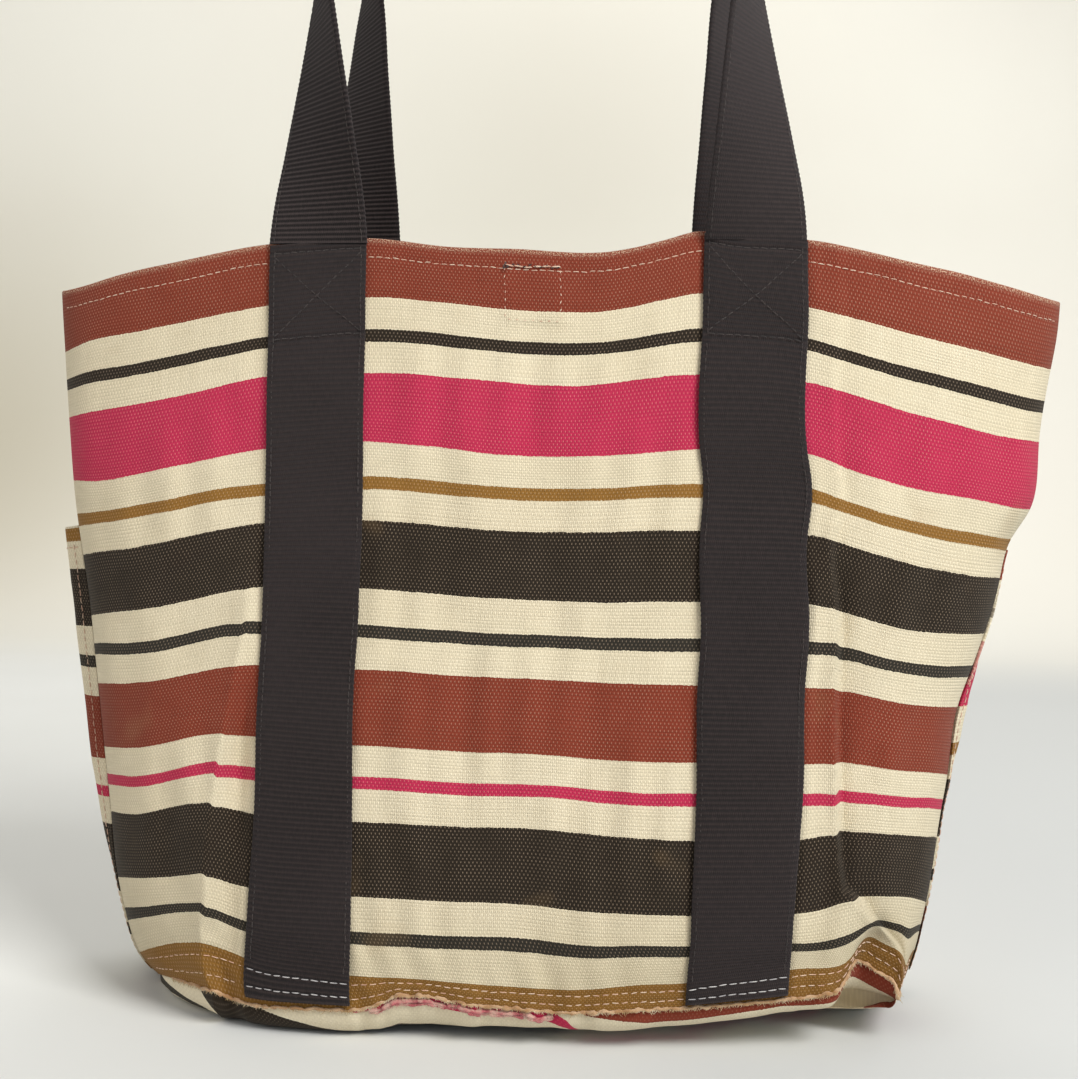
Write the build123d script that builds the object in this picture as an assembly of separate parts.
from build123d import *
import math
import os

# Foldable tote bag: +Z up, -Y front, millimetres, origin under the middle of
# the base.  Cloth is drawn as thin closed sheets, webbing as thick bands.

# --- cloth, webbing and thread ------------------------------------------------
CLOTH = 1.0             # canvas thickness
GAP = 0.1               # air between lapped layers
WEB_WIDTH = 50.0
WEB_THICK = 2.2
THREAD = 0.6

# --- base ---------------------------------------------------------------------
BASE_X = 402.0          # side to side
BASE_Y = 160.0          # fold line to fold line
BASE_R = 36.0           # rounded corners
BASE_GAP = 0.2          # each half stops short of its fold line and of the crease
LAP_HEIGHT = 32.0       # how far the base cloth turns up inside the panels
CREASE_Y = -0.8         # centre crease, just in front of the origin
BACK_Y = BASE_Y / 2     # rear fold line
FRONT_Y = 2 * CREASE_Y - BACK_Y  # the front fold line mirrors the rear one

# --- panels: heights are measured up the panel from the fold line -------------
LEAN = 9.04             # the front panel leans back by this many degrees
LEAN_RAD = math.radians(LEAN)
PANEL_HEIGHT = 393.0    # rim
RAW_EDGE = 11.0         # raw lower edge
FOOT_HALF = 163.0       # half width at the foot, to the corner
TOP_HALF = 213.0        # half width at the top, to the corner
RIM_HALF = 160.0        # half width of the level part of the rim
CORNER_HEIGHT = PANEL_HEIGHT - 5.5
HEM_DEPTH = 26.0
HEM_INSET = 5.0         # hem's ends, in from the panel's corners
HEM_ROW = PANEL_HEIGHT - 9.0  # hem stitching
SEAM_ROWS = {"lower": 19.5, "upper": 26.0}  # topstitching over the base seam
SEAM_END = FOOT_HALF - 3.0
LABEL = 28.0            # stitched square at the top centre
PATCH_THICK = 0.9       # patch inside the front panel, behind the square

# --- straps -------------------------------------------------------------------
STRAP_X = 108.0         # strap centre line from the bag's centre line
STRAP_IN = STRAP_X - WEB_WIDTH / 2   # edge nearest the bag's centre line
STRAP_OUT = STRAP_X + WEB_WIDTH / 2  # edge farthest from it
STRAP_FOOT = 16.0       # cut lower end
STRAP_TOP = PANEL_HEIGHT - 0.4

# --- layers, measured outwards from the fold line -----------------------------
PANEL_INNER = CLOTH + GAP
PANEL_MID = PANEL_INNER + CLOTH / 2
PANEL_OUTER = PANEL_INNER + CLOTH
WEB_INNER = PANEL_OUTER + GAP
WEB_OUTER = WEB_INNER + WEB_THICK
CLOTH_STITCH = (PANEL_OUTER + 0.03, PANEL_OUTER + 0.03 + THREAD)
WEB_STITCH = (WEB_OUTER + 0.05, WEB_OUTER + 0.05 + THREAD)

# --- soft ends ----------------------------------------------------------------
GUSSET_Z = (1.5, 382.0)
POCKET_Z = (13.0, 246.0)
POCKET_ROW_Z = POCKET_Z[1] - 14.0  # pocket stitching
POCKET_AIR = 0.4        # between gusset and pocket
POCKET_PART = slice(2, -2)  # the pocket leaves out two profile points at each end
SIDE_TOP = (263.0, 30.0)    # x, y of the side seam at the rim
END_FOOT_EDGE = FOOT_HALF + 0.8  # where the end wall meets the panels, at its foot
END_TOP_EDGE = TOP_HALF + 1.0    # and at its rim
END_FOOT_X = BASE_X / 2 + 1.2    # end wall's reach beside its foot corners
END_FOOT_R = BASE_R + 2.0
END_FOOT_BULGE = 1.5    # extra reach midway between the corners
ARC_STEPS = 6           # segments in each foot corner
BOW_POWERS = (1.35, 0.92)   # shape of the rim's bow in x and in y

# --- handles ------------------------------------------------------------------
LEG_HEIGHT = 150.0      # straight, twisting part of each handle leg
ARCH_R = {"front": 111.0, "back": 105.0}
LOOP_GAP = {"front": 0.9, "back": 0.5}  # rise of the loop's foot above the rim
# height up the leg, turn in degrees
TWIST = (
    (0, 0), (20, 22), (45, 43), (71, 58), (92, 68), (124, 82), (LEG_HEIGHT, 90),
)

SIDES = ((-1, "left"), (1, "right"))

os.makedirs("parts", exist_ok=True)


def save(shape, name):
    export_step(shape, "parts/" + name + ".step")


# --- panel frame: x across, y outwards, z up the panel from the fold line -----
def block(x_span, out_span, up_span):
    """Box between two values on each axis of the panel frame."""
    spans = (x_span, out_span, up_span)
    centre = [(a + b) / 2 for a, b in spans]
    return Pos(*centre) * Box(*[abs(b - a) for a, b in spans])


def sheet(points, inner, outer):
    """Flat sheet from an outline of (across, up) points."""
    wire = Polyline(*[(x, inner, up) for x, up in points], close=True)
    return extrude(make_face(wire), amount=outer - inner, dir=(0, 1, 0))


def place_front(shape):
    """Panel frame to the bag: front, leaning back about the fold line."""
    return Pos(0, FRONT_Y, CLOTH) * Rot(-LEAN, 0, 0) * mirror(shape, Plane.XZ)


def place_back(shape):
    return Pos(0, BACK_Y, CLOTH) * shape


def centred(middle, width=THREAD):
    return (middle - width / 2, middle + width / 2)


# --- panels and straps --------------------------------------------------------
def panel():
    """Cloth with its corners cut back at the rim, and the hem folded inside."""
    body = sheet(
        [(-FOOT_HALF, RAW_EDGE), (FOOT_HALF, RAW_EDGE), (TOP_HALF, CORNER_HEIGHT),
         (RIM_HALF, PANEL_HEIGHT), (-RIM_HALF, PANEL_HEIGHT), (-TOP_HALF, CORNER_HEIGHT)],
        PANEL_INNER, PANEL_OUTER,
    )
    corner = TOP_HALF - HEM_INSET
    foot, foot_height = corner - 2, PANEL_HEIGHT - HEM_DEPTH
    rim, rim_height = RIM_HALF - 2, PANEL_HEIGHT - 1
    hem = sheet(
        [(-foot, foot_height), (foot, foot_height), (corner, CORNER_HEIGHT - 1),
         (rim, rim_height), (-rim, rim_height), (-corner, CORNER_HEIGHT - 1)],
        GAP, PANEL_INNER,
    )
    return body + hem


def base_edge():
    """Base cloth turned up inside a panel."""
    return block((-FOOT_HALF, FOOT_HALF), (0, CLOTH), (-CLOTH, LAP_HEIGHT))


def strap(side):
    return block(centred(side * STRAP_X, WEB_WIDTH), (WEB_INNER, WEB_OUTER),
                 (STRAP_FOOT, STRAP_TOP))


def label_patch():
    reach = LABEL / 2 + 1
    return block((-reach, reach), (-PATCH_THICK, 0), (HEM_ROW - LABEL - 2, HEM_ROW + 1))


# --- stitching ----------------------------------------------------------------
def strap_thread(side):
    """Edge rows up both sides, and a box with a cross at the top."""
    x = side * STRAP_X
    reach = WEB_WIDTH / 2 - 2.4
    foot = SEAM_ROWS["upper"] + 4
    box_foot, top = PANEL_HEIGHT - 49, PANEL_HEIGHT - 5.5
    rows = block(centred(x - reach), WEB_STITCH, (foot, top))
    rows += block(centred(x + reach), WEB_STITCH, (foot, top))
    for up in (box_foot, top):
        rows += block((x - reach, x + reach), WEB_STITCH, centred(up))
    run, rise = 2 * reach, top - box_foot
    tilt = math.degrees(math.atan2(rise, run))
    for turn in (tilt, -tilt):
        bar = Box(math.hypot(run, rise), THREAD, THREAD)
        rows += Pos(x, sum(WEB_STITCH) / 2, (top + box_foot) / 2) * Rot(0, turn, 0) * bar
    return rows


def seam_thread(up):
    """One topstitching row across the cloth and over both straps."""
    row = centred(up)
    step = (CLOTH_STITCH[0], WEB_STITCH[1])  # from the cloth up onto the strap
    near_in, far_in = STRAP_IN - GAP, STRAP_IN - GAP - THREAD
    near_out, far_out = STRAP_OUT + GAP, STRAP_OUT + GAP + THREAD
    stretches = (
        (near_out, SEAM_END, CLOTH_STITCH),
        (far_in, far_out, WEB_STITCH),
        (far_in, near_in, step),
        (near_out, far_out, step),
    )
    thread = block((-near_in, near_in), CLOTH_STITCH, row)
    for side in (-1, 1):
        for start, end, out_span in stretches:
            thread += block((side * start, side * end), out_span, row)
    return thread


def hem_thread():
    """Three stretches: the hem is sewn before the straps cover it."""
    inner, outer = STRAP_IN - 0.6, STRAP_OUT + 0.6
    end = TOP_HALF - 6
    spans = [(-end, -outer), (-inner, inner), (outer, end)]
    return Compound(
        [block(span, CLOTH_STITCH, (HEM_ROW, HEM_ROW + THREAD)) for span in spans]
    )


def label_thread():
    """Stitched square just below the hem row."""
    half = LABEL / 2
    top = HEM_ROW - 0.7
    foot = top - LABEL
    square = block((-half, half), CLOTH_STITCH, (top - THREAD, top))
    square += block((-half, half), CLOTH_STITCH, (foot, foot + THREAD))
    square += block((-half, -half + THREAD), CLOTH_STITCH, (foot, top))
    square += block((half - THREAD, half), CLOTH_STITCH, (foot, top))
    return square


# --- base cloth: two halves that meet at the centre crease --------------------
def base_half(side):
    """Front half for side -1, rear half for side 1."""
    cut_depth = BASE_Y / 2 + 40  # runs past the far edge
    with BuildSketch() as outline:
        Rectangle(BASE_X, BASE_Y - 2 * BASE_GAP)
        fillet(outline.vertices(), BASE_R)
        with Locations((0, -side * (cut_depth / 2 - BASE_GAP))):
            Rectangle(BASE_X + 20, cut_depth, mode=Mode.SUBTRACT)
    return Pos(0, CREASE_Y) * extrude(outline.sketch, CLOTH)


# --- soft ends: gussets and end pockets ---------------------------------------
def foot_profile():
    """Plan of the right end wall at its foot, front to back."""
    y_edge = BACK_Y + PANEL_MID
    x_centre, y_centre = END_FOOT_X - END_FOOT_R, y_edge - END_FOOT_R
    front = [(END_FOOT_EDGE, -y_edge)]
    for k in range(ARC_STEPS + 1):
        angle = math.radians(-90 + 90 / ARC_STEPS * k)
        front.append((x_centre + END_FOOT_R * math.cos(angle),
                      -y_centre + END_FOOT_R * math.sin(angle)))
    rear = [(x, -y) for x, y in reversed(front)]
    # the front half stretches to reach the front fold line
    stretch = FRONT_Y / -BACK_Y
    front = [(x, y * stretch) for x, y in front]
    return front + [(END_FOOT_X + END_FOOT_BULGE, 0.0)] + rear


def rim_profile(count):
    """Plan at the rim: a soft bow between the panels, out to the side seam."""
    rise = GUSSET_Z[1] - CLOTH
    y_front = FRONT_Y + rise * math.tan(LEAN_RAD) - PANEL_MID / math.cos(LEAN_RAD)
    y_back = BACK_Y + PANEL_MID
    x_seam, y_seam = SIDE_TOP
    x_power, y_power = BOW_POWERS
    half = count // 2
    points = []
    for k in range(count):
        y_end = y_front if k < half else y_back
        share = abs(k - half) / half
        points.append((x_seam - (x_seam - END_TOP_EDGE) * share ** x_power,
                       y_seam + (y_end - y_seam) * share ** y_power))
    return points


FOOT = foot_profile()
RIM = rim_profile(len(FOOT))


def profile(z, side, offset, part):
    """Plan of an end wall at height z, moved outwards by the offset."""
    share = (z - GUSSET_Z[0]) / (GUSSET_Z[1] - GUSSET_Z[0])
    points = [
        (foot[0] + (rim[0] - foot[0]) * share, foot[1] + (rim[1] - foot[1]) * share)
        for foot, rim in zip(FOOT, RIM)
    ]
    moved = []
    for k, (x, y) in enumerate(points):
        before, after = points[max(k - 1, 0)], points[min(k + 1, len(points) - 1)]
        dx, dy = after[0] - before[0], after[1] - before[1]
        length = math.hypot(dx, dy)
        moved.append((side * (x + offset * dy / length), y - offset * dx / length))
    return moved[part]


def ribbon(side, z_span, inner, thickness, part=slice(None)):
    """Wall between two heights; inner is measured out from the end wall's middle."""
    faces = []
    for z in z_span:
        outer_line = profile(z, side, inner + thickness, part)
        inner_line = profile(z, side, inner, part)
        points = [(x, y, z) for x, y in outer_line + inner_line[::-1]]
        faces.append(make_face(Polyline(*points, close=True)))
    return loft(faces, ruled=True)


def gusset(side):
    return ribbon(side, GUSSET_Z, -CLOTH / 2, CLOTH)


def end_pocket(side):
    return ribbon(side, POCKET_Z, CLOTH / 2 + POCKET_AIR, CLOTH, POCKET_PART)


def pocket_thread(side):
    inner = CLOTH / 2 + POCKET_AIR + CLOTH + GAP
    return ribbon(side, (POCKET_ROW_Z, POCKET_ROW_Z + THREAD), inner, THREAD, POCKET_PART)


# --- handle loops -------------------------------------------------------------
def handle_leg(side, radius, y, z_foot):
    """Webbing that makes a quarter turn on its way up to the arch."""
    faces = []
    for height, turn in TWIST:
        share = height / LEG_HEIGHT
        share = share * share * (3 - 2 * share)
        angle = math.radians(turn)
        # the edge nearest the middle turns towards the front
        plane = Plane(
            origin=(side * (STRAP_X + (radius - STRAP_X) * share), y, z_foot + height),
            x_dir=(math.cos(angle), side * math.sin(angle), 0),
            z_dir=(0, 0, 1),
        )
        faces.append((plane * Rectangle(WEB_WIDTH, WEB_THICK)).face())
    return loft(faces)


def handle_loop(radius, y, z_foot):
    """Two twisting legs and an arch over them."""
    legs = handle_leg(-1, radius, y, z_foot) + handle_leg(1, radius, y, z_foot)
    z_arch = z_foot + LEG_HEIGHT
    section = Plane.XY.offset(z_arch) * Pos(radius, y) * Rectangle(WEB_THICK, WEB_WIDTH)
    return legs + revolve(section, Axis((0, y, z_arch), (0, -1, 0)), 180)


# --- write the pieces ---------------------------------------------------------
for name, base_name, place in (
    ("front", "front", place_front),
    ("back", "rear", place_back),
):
    save(place(panel()), name + "_panel")
    save(place(base_edge()), "base_" + base_name + "_edge")
    for side, word in SIDES:
        save(place(strap(side)), name + "_" + word + "_strap")
        save(place(strap_thread(side)), name + "_" + word + "_strap_thread")
    save(place(hem_thread()), name + "_hem_thread")
    for row, up in SEAM_ROWS.items():
        save(place(seam_thread(up)), name + "_seam_thread_" + row)

save(place_front(label_thread()), "label_thread")
save(place_front(label_patch()), "inner_label_patch")

save(base_half(-1), "base_front_half")
save(base_half(1), "base_rear_half")

for side, word in SIDES:
    save(gusset(side), word + "_gusset")
    save(end_pocket(side), word + "_end_pocket")
    save(pocket_thread(side), word + "_pocket_thread")

# each loop stands over the middle of its straps' thickness at the rim
web_mid = WEB_INNER + WEB_THICK / 2
for name, fold_y, lean in (("front", FRONT_Y, LEAN_RAD), ("back", BACK_Y, 0.0)):
    outwards = math.copysign(1, fold_y)
    y = fold_y + outwards * web_mid * math.cos(lean) + PANEL_HEIGHT * math.sin(lean)
    z = CLOTH + web_mid * math.sin(lean) + PANEL_HEIGHT * math.cos(lean)
    save(handle_loop(ARCH_R[name], y, z + LOOP_GAP[name]), name + "_handle_loop")
